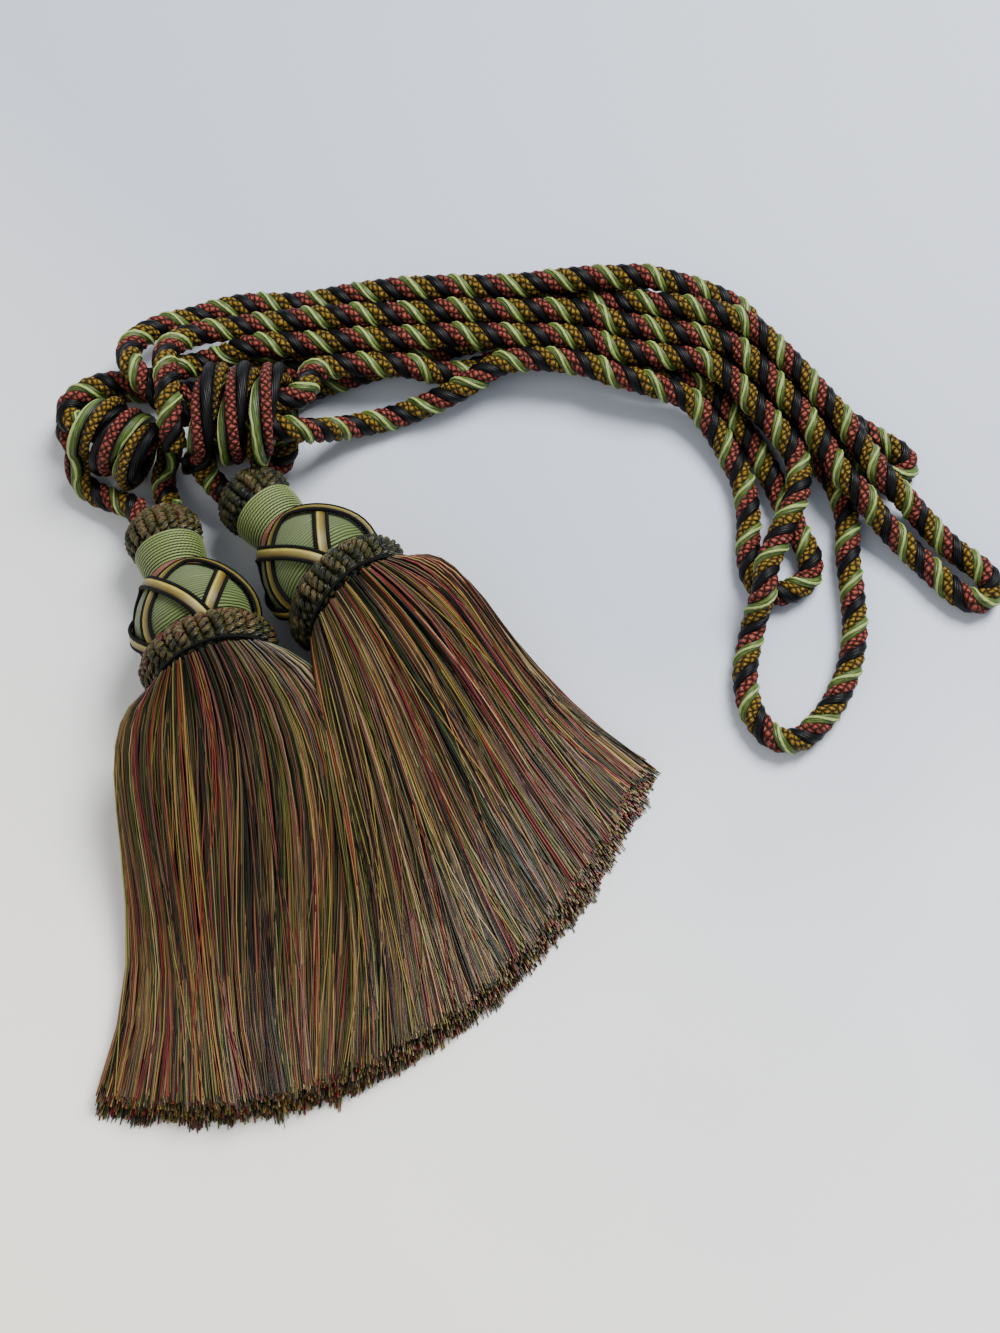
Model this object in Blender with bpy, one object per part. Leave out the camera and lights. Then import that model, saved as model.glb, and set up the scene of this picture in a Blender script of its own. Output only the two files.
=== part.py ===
"""Double tassel curtain tieback lying on a floor: two tassels, each on a knot of its own, and four
long loops of laid rope that join the knots and lie in one bundle.

Lengths are in millimetres until the mesh or curve is made, which is in metres with +Z up.  The floor
is z = 0.  The tassels point towards -Y and the loops run out towards +X.
"""

import math
import random

import bmesh
import bpy
from mathutils import Vector

MM = 0.001
GAP = 0.3
MIDDLE = Vector((-54.4, -28.8, 0.0))  # middle of the tassels' and knots' footprint

# Rope
ROPE = 10.0
ROPE_STEP = 13.5
BEND_LENGTH = 12.0
CURVE_PARTS = 12
ROPE_SIDES_LEVEL = 2

# Tassel, measured along its axis from the middle of the lower ruff (0) towards the knot
LOWER_RUFF = 27.0
LOWER_RUFF_HALF = 6.0
LOWER_RUFF_LOOPS = 26
MOULD = 23.0
MOULD_END = 36.0
MOULD_WIDEST = 15.0
RIBBONS = 5
RIBBON_WIDTH = 5.6
RIBBON_THICKNESS = 0.5
RIBBON_REACH = math.radians(64.0)  # round the mould to each side of its highest place
RIBBON_UNDER, RIBBON_OVER = 0.65, 1.8
RIBBON_SWAP = math.radians(20.0)
NECK_RING = 11.6
COLLAR = 13.5
COLLAR_TAPER = 2.0
COLLAR_GROOVE = 0.6
COLLAR_END = 52.0
COLLAR_TURNS = 10
UPPER_RUFF_LOOPS = 14
LOOP_RELIEF = 0.8
TILT = math.radians(13.4)

# Outlines of the two ruffs: place along the axis and radius
LOWER_RUFF_OUTLINE = [(6.0, 19.5), (5.0, 22.6), (3.2, 23.2), (1.4, 25.8), (-0.8, 25.2),
                      (-2.8, 26.6), (-5.2, 25.0), (-6.0, 20.0)]
UPPER_RUFF_OUTLINE = [(52.3, 12.4), (53.7, 14.4), (55.5, 13.8), (57.5, 15.0), (59.5, 14.2),
                      (61.5, 14.4), (63.3, 12.3), (64.9, 10.4), (65.8, 8.6), (66.5, 5.5)]

# Skirt
SKIRT_COLUMNS = 21
SKIRT_ROWS = 3
SKIRT_SEGMENTS = 4
SKIRT_ROOT = 23.5
SKIRT_BACKING = 3.5
ROOT_NARROWING = 0.88
SKIRT_SWELL = 30.0
LOCK_MARGIN = 0.08
LEVEL_FROM = 0.75
CUT_BEVEL = 8.0
UNEVEN = 2.0


# --- Helpers ------------------------------------------------------------------------------------

def clear_objects():
    for old in list(bpy.data.objects):
        bpy.data.objects.remove(old, do_unlink=True)


def cloth(name, colour, roughness):
    material = bpy.data.materials.new(name)
    material.use_nodes = True
    shader = material.node_tree.nodes["Principled BSDF"]
    shader.inputs["Base Color"].default_value = (*colour, 1.0)
    shader.inputs["Roughness"].default_value = roughness
    shader.inputs["Metallic"].default_value = 0.0
    return material


def add_mesh(name, points, faces, material):
    """A closed mesh from points in millimetres."""
    mesh = bpy.data.meshes.new(name)
    mesh.from_pydata([(p - MIDDLE) * MM for p in points], [], faces)
    solid = bmesh.new()
    solid.from_mesh(mesh)
    bmesh.ops.recalc_face_normals(solid, faces=solid.faces)
    solid.to_mesh(mesh)
    solid.free()
    mesh.materials.append(material)
    mesh.shade_smooth()
    mesh.set_sharp_from_angle(angle=math.radians(40.0))
    thing = bpy.data.objects.new(name, mesh)
    bpy.context.collection.objects.link(thing)
    return thing


def smooth_route(route, step=ROPE_STEP):
    """Points along a centripetal Catmull-Rom curve through the route, closer together in bends:
    each step is shared between the length it covers and BEND_LENGTH for each radian it turns."""
    route = [Vector(p) for p in route]
    ends = [route[0] * 2 - route[1]] + route + [route[-1] * 2 - route[-2]]
    fine = []
    for before, start, stop, after in zip(ends, ends[1:], ends[2:], ends[3:]):
        t1 = (start - before).length ** 0.5
        t2 = t1 + (stop - start).length ** 0.5
        t3 = t2 + (after - stop).length ** 0.5
        for part in range(CURVE_PARTS):
            t = t1 + (t2 - t1) * part / CURVE_PARTS
            a1 = before.lerp(start, t / t1)
            a2 = start.lerp(stop, (t - t1) / (t2 - t1))
            a3 = stop.lerp(after, (t - t2) / (t3 - t2))
            b1 = a1.lerp(a2, t / t2)
            b2 = a2.lerp(a3, (t - t1) / (t3 - t1))
            fine.append(b1.lerp(b2, (t - t1) / (t2 - t1)))
    fine.append(route[-1])
    for point in fine:
        point.z = max(point.z, ROPE / 2)
    reach = [0.0]
    heading = fine[1] - fine[0]
    for a, b in zip(fine, fine[1:]):
        reach.append(reach[-1] + (b - a).length + BEND_LENGTH * heading.angle(b - a, 0.0))
        heading = b - a
    count = max(2, round(reach[-1] / step))
    spaced = []
    k = 0
    for n in range(count):
        wanted = reach[-1] * n / count
        while reach[k + 1] < wanted:
            k += 1
        spaced.append(fine[k].lerp(fine[k + 1], (wanted - reach[k]) / (reach[k + 1] - reach[k])))
    spaced.append(fine[-1])
    return spaced


def add_tube(name, points, diameter, material):
    """A plain tube with filled ends through points in millimetres."""
    curve = bpy.data.curves.new(name, "CURVE")
    curve.dimensions = "3D"
    curve.bevel_depth = diameter / 2 * MM
    curve.bevel_resolution = ROPE_SIDES_LEVEL
    curve.use_fill_caps = True
    spline = curve.splines.new("POLY")
    spline.points.add(len(points) - 1)
    for target, p in zip(spline.points, points):
        target.co = (*((p - MIDDLE) * MM), 1.0)
    curve.materials.append(material)
    thing = bpy.data.objects.new(name, curve)
    bpy.context.collection.objects.link(thing)
    return thing


# --- Tassels ------------------------------------------------------------------------------------

class Axis:
    """A tassel's axis: it runs from the middle of the lower ruff down to the knot end on the floor."""

    def __init__(self, x, y, heading):
        along = math.radians(heading)
        self.out = Vector((math.cos(along), math.sin(along), 0.0))
        self.side = Vector((-math.sin(along), math.cos(along), 0.0))
        self.skirtward = self.out * math.cos(TILT) + Vector((0, 0, math.sin(TILT)))
        self.up = Vector((0, 0, math.cos(TILT))) - self.out * math.sin(TILT)
        height = LOWER_RUFF * math.cos(TILT) + LOWER_RUFF_HALF * math.sin(TILT) + 1.2
        self.middle = Vector((x, y, height))

    def at(self, along, radius, angle):
        spoke = self.side * math.cos(angle) + self.up * math.sin(angle)
        return self.middle - self.skirtward * along + spoke * radius


def add_turned(name, axis, profile, columns, material, relief=None):
    """A solid turned about the tassel's axis; relief maps a profile row to a height raised on every
    second column, so that the rows of cord loops stand out."""
    relief = relief or {}
    points = [axis.at(profile[0][0], 0.0, 0.0)]
    for row, (along, radius) in enumerate(profile):
        for column in range(columns):
            raised = relief.get(row, 0.0) * (1 if (column + row // 2) % 2 else -1) / 2
            points.append(axis.at(along, radius + raised, math.tau * column / columns))
    points.append(axis.at(profile[-1][0], 0.0, 0.0))
    faces = []
    for column in range(columns):
        beside = (column + 1) % columns
        faces.append((0, 1 + beside, 1 + column))
        for row in range(len(profile) - 1):
            low, high = 1 + row * columns, 1 + (row + 1) * columns
            faces.append((low + column, low + beside, high + beside, high + column))
        last = 1 + (len(profile) - 1) * columns
        faces.append((last + column, last + beside, len(points) - 1))
    return add_mesh(name, points, faces, material)


def mould_radius(along):
    """The wooden mould's egg shape: widest near the lower ruff, narrow at the collar."""
    if along < MOULD_WIDEST:
        reach = (MOULD_WIDEST - along) / 18.0
        return MOULD * math.sqrt(1.0 - reach * reach)
    reach = (along - MOULD_WIDEST) / (MOULD_END - MOULD_WIDEST + 4.0)
    return MOULD * math.sqrt(1.0 - reach * reach) - 1.5 * reach


def add_mould(name, axis, material):
    rows = 8
    start = LOWER_RUFF_HALF + GAP
    profile = []
    for row in range(rows):
        along = start + (MOULD_END - start) * row / (rows - 1)
        profile.append((along, mould_radius(along)))
    return add_turned(name, axis, profile, 24, material)


def add_ribbon(name, axis, top, material):
    """One flat ribbon that rises from the lower ruff, bends over below the neck and comes down
    again.  It lies over the next ribbon on one side and under it on the other."""
    segments = 12
    first, last = LOWER_RUFF_HALF + 3.5, MOULD_END - 3.0
    points, faces = [], []
    small = 0.01

    def surface(share):
        place = first + (last - first) * math.cos(math.pi / 2 * share)
        return place, top + RIBBON_REACH * share

    for k in range(segments + 1):
        share = 2 * k / segments - 1
        place, angle = surface(share)
        middle = axis.at(place, mould_radius(place), angle)
        before, after = surface(share - small), surface(share + small)
        path = (axis.at(after[0], mould_radius(after[0]), after[1])
                - axis.at(before[0], mould_radius(before[0]), before[1]))
        down = axis.at(place - small, mould_radius(place - small), angle) - middle
        round_it = axis.at(place, mould_radius(place), angle + small) - middle
        normal = down.cross(round_it).normalized()
        if normal.dot(middle - axis.at(place, 0.0, 0.0)) < 0:
            normal.negate()
        rise = min(1.0, max(0.0, 0.5 - RIBBON_REACH * share / (2 * RIBBON_SWAP)))
        lift = RIBBON_UNDER + (RIBBON_OVER - RIBBON_UNDER) * rise * rise * (3 - 2 * rise)
        half = path.cross(normal).normalized() * (RIBBON_WIDTH / 2)
        under, over = normal * lift, normal * (lift + RIBBON_THICKNESS)
        points += [middle - half + under, middle + half + under,
                   middle + half + over, middle - half + over]
    for k in range(segments):
        low, high = 4 * k, 4 * (k + 1)
        for edge in range(4):
            after = (edge + 1) % 4
            faces.append((low + edge, low + after, high + after, high + edge))
    faces.append((3, 2, 1, 0))
    end = 4 * segments
    faces.append((end, end + 1, end + 2, end + 3))
    return add_mesh(name, points, faces, material)


class SkirtShape:
    """Where a point of the skirt lies: across runs from its left edge (0) to its right edge (1),
    layer from the floor side (0) to the top (1), and down from the root (0) to the cut end (1)."""

    def __init__(self, axis, leave, end_angles, end_reach, bulge, end_height, edge_heights):
        self.axis = axis
        self.leave = [math.radians(a) for a in leave]
        self.end_angles = [math.radians(a) for a in end_angles]
        self.end_reach = end_reach
        self.bulge = bulge
        self.end_height = end_height
        self.edge_heights = edge_heights

    def root(self, across, layer):
        x = 2 * across - 1
        half = SKIRT_ROOT * math.sqrt(1 - ROOT_NARROWING * x * x)
        along = -(LOWER_RUFF_HALF + GAP + SKIRT_BACKING)
        middle = self.axis.at(along, 0.0, 0.0)
        return middle + self.axis.side * (SKIRT_ROOT * x) + self.axis.up * (half * (2 * layer - 1))

    def at(self, across, layer, down, longer=0.0):
        root = self.root(across, layer)
        leave = self.leave[0] + (self.leave[1] - self.leave[0]) * across
        turn = self.bulge[0] + (self.bulge[1] - self.bulge[0]) * across
        control = root + Vector((math.cos(leave), math.sin(leave), 0.0)) * turn
        angle = self.end_angles[0] + (self.end_angles[1] - self.end_angles[0]) * across
        reach = self.end_reach[1] + (self.end_reach[0] - self.end_reach[1]) * (1 - across) ** 1.6
        reach += longer - CUT_BEVEL * layer
        end = self.axis.middle + Vector((math.cos(angle), math.sin(angle), 0.0)) * reach
        place = root * (1 - down) ** 2 + control * (2 * down * (1 - down)) + end * down ** 2
        settled = min(down / LEVEL_FROM, 1.0)
        edge = self.edge_heights[0] + (self.edge_heights[1] - self.edge_heights[0]) * across
        height = self.end_height * (edge + (1 - edge) * math.sin(math.pi * across))
        end_z = height * (layer - LOCK_MARGIN / SKIRT_ROWS)
        place.z = (root.z * (1 - settled) ** 2
                   + 2 * settled * (1 - settled) * SKIRT_SWELL * layer + end_z * settled ** 2)
        return place


def add_skirt(name, shape, seed, material):
    """Locks of yarn that stand apart, with their roots fused into a thin round backing."""
    uneven = random.Random(seed)
    columns, rows = SKIRT_COLUMNS, SKIRT_ROWS
    points = []
    for column in range(columns + 1):
        for row in range(rows + 1):
            points.append(shape.root(column / columns, row / rows))
    faces = []
    for column in range(columns):
        for row in range(rows):
            left, right = (column + LOCK_MARGIN) / columns, (column + 1 - LOCK_MARGIN) / columns
            low, high = (row + LOCK_MARGIN) / rows, (row + 1 - LOCK_MARGIN) / rows
            corners = ((left, low), (right, low), (right, high), (left, high))
            longer = uneven.uniform(-UNEVEN, UNEVEN)
            ring = [column * (rows + 1) + row, (column + 1) * (rows + 1) + row,
                    (column + 1) * (rows + 1) + row + 1, column * (rows + 1) + row + 1]
            for segment in range(SKIRT_SEGMENTS + 1):
                down = segment / SKIRT_SEGMENTS
                fresh = [len(points) + k for k in range(4)]
                points += [shape.at(u, w, down, longer * down) for u, w in corners]
                for k in range(4):
                    after = (k + 1) % 4
                    faces.append((ring[k], ring[after], fresh[after], fresh[k]))
                ring = fresh
            faces.append(tuple(ring))
    rim = [c * (rows + 1) for c in range(columns)]
    rim += [columns * (rows + 1) + r for r in range(rows)]
    rim += [c * (rows + 1) + rows for c in range(columns, 0, -1)]
    rim += list(range(rows, 0, -1))
    back = len(points)
    lift = shape.axis.skirtward * -SKIRT_BACKING
    points += [points[k] + lift for k in rim]
    centre = len(points)
    points.append(shape.axis.at(-(LOWER_RUFF_HALF + GAP), 0.0, 0.0))
    for k in range(len(rim)):
        after = (k + 1) % len(rim)
        faces.append((rim[k], rim[after], back + after, back + k))
        faces.append((back + k, back + after, centre))
    return add_mesh(name, points, faces, material)


def add_tassel(label, axis, shape, seed, first_ribbon, materials):
    """Skirt, lower ruff, mould with its ribbons, neck ring, collar and upper ruff."""
    add_skirt(label + "_skirt", shape, seed, materials["skirt"])
    add_turned(label + "_lower_ruff", axis, LOWER_RUFF_OUTLINE, 2 * LOWER_RUFF_LOOPS,
               materials["ruff"], {1: LOOP_RELIEF, 3: LOOP_RELIEF, 5: LOOP_RELIEF})
    add_mould(label + "_mould", axis, materials["sage"])
    for k in range(RIBBONS):
        add_ribbon(f"{label}_ribbon_{k + 1}", axis, first_ribbon + math.tau * k / RIBBONS,
                   materials["ribbon"])

    ring = MOULD_END + GAP
    ring_outline = [(ring, 10.0), (ring + 1.0, NECK_RING), (ring + 2.0, 10.0)]
    add_turned(label + "_neck_ring", axis, ring_outline, 16, materials["copper"])

    start = ring + 2.0 + GAP
    outline = []
    for k in range(2 * COLLAR_TURNS + 1):
        share = k / (2 * COLLAR_TURNS)
        radius = COLLAR - COLLAR_TAPER * (1 - share) ** 2 - (0.0 if k % 2 else COLLAR_GROOVE)
        outline.append((start + (COLLAR_END - start) * share, radius))
    add_turned(label + "_collar", axis, outline, 16, materials["sage"])
    add_turned(label + "_upper_ruff", axis, UPPER_RUFF_OUTLINE, 2 * UPPER_RUFF_LOOPS,
               materials["ruff"],
               {1: LOOP_RELIEF, 3: LOOP_RELIEF, 5: LOOP_RELIEF, 7: LOOP_RELIEF})


# --- Knots --------------------------------------------------------------------------------------

def knot_route(middle, heading, half_width, half_height, pitch, turns, lead_in, lead_out):
    """The hanging cord of a tassel: up from the tassel, wound round, and down to it again.  The
    winding starts at the front and rises over the top."""
    along = Vector((math.cos(math.radians(heading)), math.sin(math.radians(heading)), 0.0))
    back = Vector((-along.y, along.x, 0.0))
    steps = round(turns * 12)
    wound = []
    for k in range(steps + 1):
        angle = math.tau * turns * k / steps
        wound.append(Vector(middle) + along * (pitch * turns * (k / steps - 0.5))
                     - back * (half_width * math.cos(angle))
                     + Vector((0, 0, half_height * math.sin(angle))))
    return [Vector(p) for p in lead_in] + wound + [Vector(p) for p in lead_out]


# --- Loops --------------------------------------------------------------------------------------

# Stations along the bundle: a point on its outer edge, and the direction in towards its inner edge
STATIONS = [  # x, y, inward direction in degrees
    (-80.0, 155.5, -90.0),
    (-60.0, 157.2, -90.0),
    (-40.0, 158.4, -90.0),
    (-18.0, 159.0, -90.0),
    (3.0, 159.5, -90.0),
    (33.0, 163.0, -90.0),
    (46.0, 163.3, -92.0),
    (60.0, 163.0, -94.0),
    (97.0, 151.5, -115.0),
    (108.0, 139.5, -133.0),
    (138.0, 106.0, -150.0),
]

# Each leg's distance in from the outer edge and its height, at each station
LANES = {
    "a_out": [(5, 8), (5, 12), (5, 15), (4.8, 15.4), (5, 15.4), (5, 15.4), (4.7, 15.4),
              (4.5, 15.4), (4, 9.5), (3.6, 5), (5, 5)],
    "a_back": [(21, 5), (15.6, 5), (10.5, 5), (4, 5), (0.5, 5), (1.5, 5), (4.2, 5), (9.8, 5),
               (15, 5), (14.6, 5), (16.3, 5)],
    "b_out": [(15.5, 14.6), (15.8, 15.4), (16.2, 15), (15.4, 15.6), (15.7, 14.7), (19.8, 14.7),
              (24.3, 14.4), (26.7, 14.5), (23, 14.5), (18.5, 15.2), (20.2, 15.4)],
    "b_back": [(32, 5), (26.5, 5), (21.6, 5), (14.8, 5), (11, 5), (12, 6.2), (13.8, 10.2),
               (16, 15), (12.3, 16.5), (7.5, 15.6), (8.8, 15.6)],
    "c_out": [(43.8, 5), (37.4, 5), (32.3, 5), (25.6, 5), (21.7, 5), (24.5, 5), (29, 5),
              (31.8, 5), (28, 5), (25.4, 5), (27.4, 5)],
    "c_back": [(26.5, 14.8), (26.5, 15.4), (26.8, 15), (26.2, 15.7), (26.7, 14.9), (31, 14.3),
               (35.5, 14.3), (37.7, 14.2), (33.6, 14.3), (29.9, 14.5), (31.8, 14.5)],
    "d_out": [None, None, (55.6, 5), (48.6, 10.6), (38, 14.8), (42.2, 14.2), (46.8, 14),
              (50, 13.6), (49.8, 9.8), None, (51.5, 5)],
    "d_back": [None, (37.6, 15.6), (38.2, 14.3), (38.6, 6), (32.4, 5), (36.2, 5), (40.7, 5),
               (43.6, 5), (39.4, 5), (35.9, 5), (40.6, 5)],
}

# Hand-placed stretches before, beyond and after the bundle
A_START = [(-107.5, 93, 28.5), (-115, 93, 27.8), (-122, 94.4, 24.6), (-128, 98, 23.8),
           (-133.5, 103, 24.6), (-139, 108.5, 26.8), (-143.5, 114.5, 27), (-145.5, 121, 23),
           (-144.5, 129, 17.5), (-138, 137, 12.5), (-122.5, 143.5, 9.5), (-105, 149.5, 8)]
A_TIP = [(144, 96.2, 5), (151, 91.2, 5), (156.7, 87.6, 5), (160.6, 82.8, 5), (159, 77.2, 5),
         (153.2, 75.4, 5), (146.6, 79, 5), (139, 86.2, 5)]
A_END = [(-90.5, 131.6, 5), (-98.5, 124.8, 5), (-106, 117.4, 5), (-116, 113, 5),
         (-130, 112.5, 5), (-152.5, 114, 5), (-162.5, 113, 5), (-169, 107.5, 5),
         (-172, 100.5, 5), (-171, 93.5, 5), (-166, 88, 5)]
B_START = [(-124.3, 78.5, 27), (-125, 84, 32), (-125.6, 91, 36), (-126.5, 99, 36.4),
           (-128, 108, 33.4), (-130, 115.5, 28.5), (-130.3, 120.5, 25), (-128.5, 126, 21),
           (-122, 132.5, 16), (-104, 137.4, 13)]
B_TIP = [(125, 88, 15.4), (131.5, 75.5, 15.4), (140, 65, 15), (150, 54.5, 8.5),
         (161.5, 43.5, 5), (172.5, 32, 5), (179, 26.3, 5), (184.5, 24.6, 5), (189.2, 27.2, 5),
         (190.2, 32.4, 5), (186.5, 37.8, 5), (180, 43, 5), (173.5, 49, 5), (164, 59.5, 6.5),
         (157, 65.5, 11), (149.5, 71.5, 15.4), (142.5, 82.5, 15.4), (136, 94, 15.4)]
B_END = [(-88, 119.4, 5), (-95, 113, 5), (-102, 106.3, 5), (-110, 99, 5), (-116, 91.5, 5.5),
         (-119, 84, 7.5), (-121.5, 77, 11)]
C_START = [(-107, 84.6, 5), (-99.5, 93, 5), (-92.5, 100, 5), (-86, 106.3, 5)]
C_TIP = [(122, 85, 5), (130, 77.5, 5), (134, 68.5, 5), (136, 58.5, 5), (135.5, 41.5, 5),
         (136.5, 25.5, 5), (136, 9, 5), (131.5, -7, 5), (123.5, -20.5, 5), (113, -30, 5),
         (103.5, -29.5, 5), (96, -20, 5), (93.5, -7, 5), (96, 9, 5.5), (98.5, 19, 10),
         (100.5, 26, 15.6), (102, 35, 15.6), (106.5, 46, 15.6), (112, 57, 15.6), (115, 65, 15.2),
         (116.5, 73, 13.8), (115.5, 81.5, 13.6)]
C_END = [(-88, 128.8, 15.6), (-96, 128, 15.8), (-104, 126.8, 14.2), (-112, 125.7, 10),
         (-122.5, 122.5, 9.5), (-129, 118.5, 13.8), (-138, 113, 15.8), (-150, 112, 15.8),
         (-159.5, 110, 15.8), (-165.5, 106, 15.8), (-169.5, 100.5, 15.8), (-168, 95.4, 15.8),
         (-161.5, 93.3, 15.9), (-154, 89.4, 16), (-146, 85.2, 16)]
D_START = [(-98, 87.8, 28.5), (-88, 87.6, 28.5), (-79, 87, 26.5), (-70, 90, 19),
           (-59, 96, 9)]
D_TIP = [(96.5, 70, 5), (97.5, 60, 5), (97, 50, 5), (97, 39.5, 5), (99.5, 32, 5),
         (106.5, 28, 5), (114, 29.5, 5), (120, 35, 5), (120.5, 43.5, 5), (117, 51.5, 5),
         (113.5, 60.5, 5), (109.5, 70, 5)]
D_END = [(-69, 118.3, 15.8), (-74, 114.6, 18.5), (-75.2, 108.5, 22.5), (-75.8, 102, 27.3),
         (-83, 98.3, 28.6), (-92, 98, 28.5)]


def lane_points(leg):
    places = []
    for (x, y, direction), lane in zip(STATIONS, LANES[leg]):
        if lane is None:
            continue
        inward, height = lane
        turn = math.radians(direction)
        places.append((x + inward * math.cos(turn), y + inward * math.sin(turn), height))
    return places


def loop_route(start, out, tip, back, end):
    return start + lane_points(out) + tip + lane_points(back)[::-1] + end


LOOP_ROUTES = {
    "loop_1": loop_route(A_START, "a_out", A_TIP, "a_back", A_END),
    "loop_2": loop_route(B_START, "b_out", B_TIP, "b_back", B_END),
    "loop_3": loop_route(C_START, "c_out", C_TIP, "c_back", C_END),
    "loop_4": loop_route(D_START, "d_out", D_TIP, "d_back", D_END),
}

KNOT_ROUTES = {
    "knot_1": knot_route((-146, 85, 16), -28.0, 11.0, 10.9, 11.0, 2.75,
                         [(-138.2, 54, 13.4), (-141, 60, 11.5), (-148, 64.5, 7.5),
                          (-157, 68, 6), (-165, 74.5, 7.5)],
                         [(-132, 71.5, 5.3), (-129.8, 65, 8.8), (-127.6, 58.8, 13.2)]),
    "knot_2": knot_route((-98.5, 93, 28.5), 0.0, 15.8, 12.8, 11.2, 2.75,
                         [(-105.8, 65.2, 13.4), (-110, 69.5, 12.8), (-113.5, 72.5, 16),
                          (-114, 76, 22)],
                         [(-84, 85, 11.2), (-87.5, 79.5, 9), (-97, 76.6, 9.6)]),
}


def main():
    clear_objects()
    materials = {
        "skirt": cloth("skirt yarn", (0.16, 0.13, 0.05), 0.5),
        "ruff": cloth("ruff cord", (0.22, 0.17, 0.09), 0.7),
        "sage": cloth("sage thread", (0.24, 0.29, 0.13), 0.6),
        "ribbon": cloth("gold ribbon", (0.62, 0.52, 0.30), 0.35),
        "copper": cloth("copper thread", (0.45, 0.20, 0.10), 0.5),
        "rope": cloth("laid rope", (0.20, 0.15, 0.08), 0.6),
    }
    tassel_1 = Axis(-107.0, -5.0, -67.2)
    shape_1 = SkirtShape(tassel_1, leave=(-103, -64), end_angles=(-103.4, -71.2),
                         end_reach=(166, 164), bulge=(50, 50), end_height=15.0,
                         edge_heights=(0.6, 1.0))
    add_tassel("tassel_1", tassel_1, shape_1, 1, math.radians(75.0), materials)
    tassel_2 = Axis(-56.5, 20.0, -47.5)
    shape_2 = SkirtShape(tassel_2, leave=(-86, -15), end_angles=(-88.8, -27.0),
                         end_reach=(180, 132), bulge=(45, 52), end_height=16.0,
                         edge_heights=(1.0, 0.6))
    add_tassel("tassel_2", tassel_2, shape_2, 2, math.radians(92.0), materials)
    for name, route in KNOT_ROUTES.items():
        add_tube(name, smooth_route(route), ROPE, materials["rope"])
    for name, route in LOOP_ROUTES.items():
        add_tube(name, smooth_route(route), ROPE, materials["rope"])


main()
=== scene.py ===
"""Double tassel curtain tieback lying on a floor: how each piece looks, in the part's own frame.

Routes and tassel shapes are in millimetres, as the frame's solids were drawn; a point is shifted to
the frame and turned to metres where a mesh is made.
"""

import random
from dataclasses import dataclass
from math import cos, hypot, pi, radians, sin, sqrt, tau

import bpy
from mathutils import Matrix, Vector


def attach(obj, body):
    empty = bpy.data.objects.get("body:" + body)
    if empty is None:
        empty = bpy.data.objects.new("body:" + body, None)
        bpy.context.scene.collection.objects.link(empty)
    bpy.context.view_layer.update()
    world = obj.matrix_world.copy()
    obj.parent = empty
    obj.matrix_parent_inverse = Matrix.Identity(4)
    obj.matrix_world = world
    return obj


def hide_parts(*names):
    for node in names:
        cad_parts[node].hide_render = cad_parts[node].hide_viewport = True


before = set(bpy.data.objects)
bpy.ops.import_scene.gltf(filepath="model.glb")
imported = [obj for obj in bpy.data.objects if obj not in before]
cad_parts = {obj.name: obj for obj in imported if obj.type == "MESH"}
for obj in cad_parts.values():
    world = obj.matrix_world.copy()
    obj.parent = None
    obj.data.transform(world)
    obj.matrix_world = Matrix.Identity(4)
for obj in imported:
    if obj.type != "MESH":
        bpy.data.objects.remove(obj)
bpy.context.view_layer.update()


# --- Setting ---
# A pale floor under a large soft light as from a window, and a weak warm one from the room.  The
# camera looks down from above and a little in front.

def shade(colour):
    """A colour given as it shows on a screen, from 0 to 255, as the linear colour shaders use."""
    def linear(part):
        part /= 255.0
        return part / 12.92 if part <= 0.04045 else ((part + 0.055) / 1.055) ** 2.4
    return (*map(linear, colour), 1.0)


class Value:
    """The output of a node, for use in plain arithmetic."""

    def __init__(self, graph, socket):
        self.graph = graph
        self.socket = socket

    def __add__(self, other):
        return self.graph.math("ADD", self, other)

    def __sub__(self, other):
        return self.graph.math("SUBTRACT", self, other)

    def __rsub__(self, other):
        return self.graph.math("SUBTRACT", other, self)

    def __mul__(self, other):
        return self.graph.math("MULTIPLY", self, other)

    def __truediv__(self, other):
        return self.graph.math("DIVIDE", self, other)

    def __pow__(self, other):
        return self.graph.math("POWER", self, other)


def set_stops(ramp, colours, interpolation):
    """The colours evenly spread from 0 to 1."""
    ramp.interpolation = interpolation
    while len(ramp.elements) < len(colours):
        ramp.elements.new(1.0)
    spread = len(colours) if interpolation == "CONSTANT" else len(colours) - 1
    for place, colour in enumerate(colours):
        ramp.elements[place].position = place / spread
        ramp.elements[place].color = shade(colour)


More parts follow.
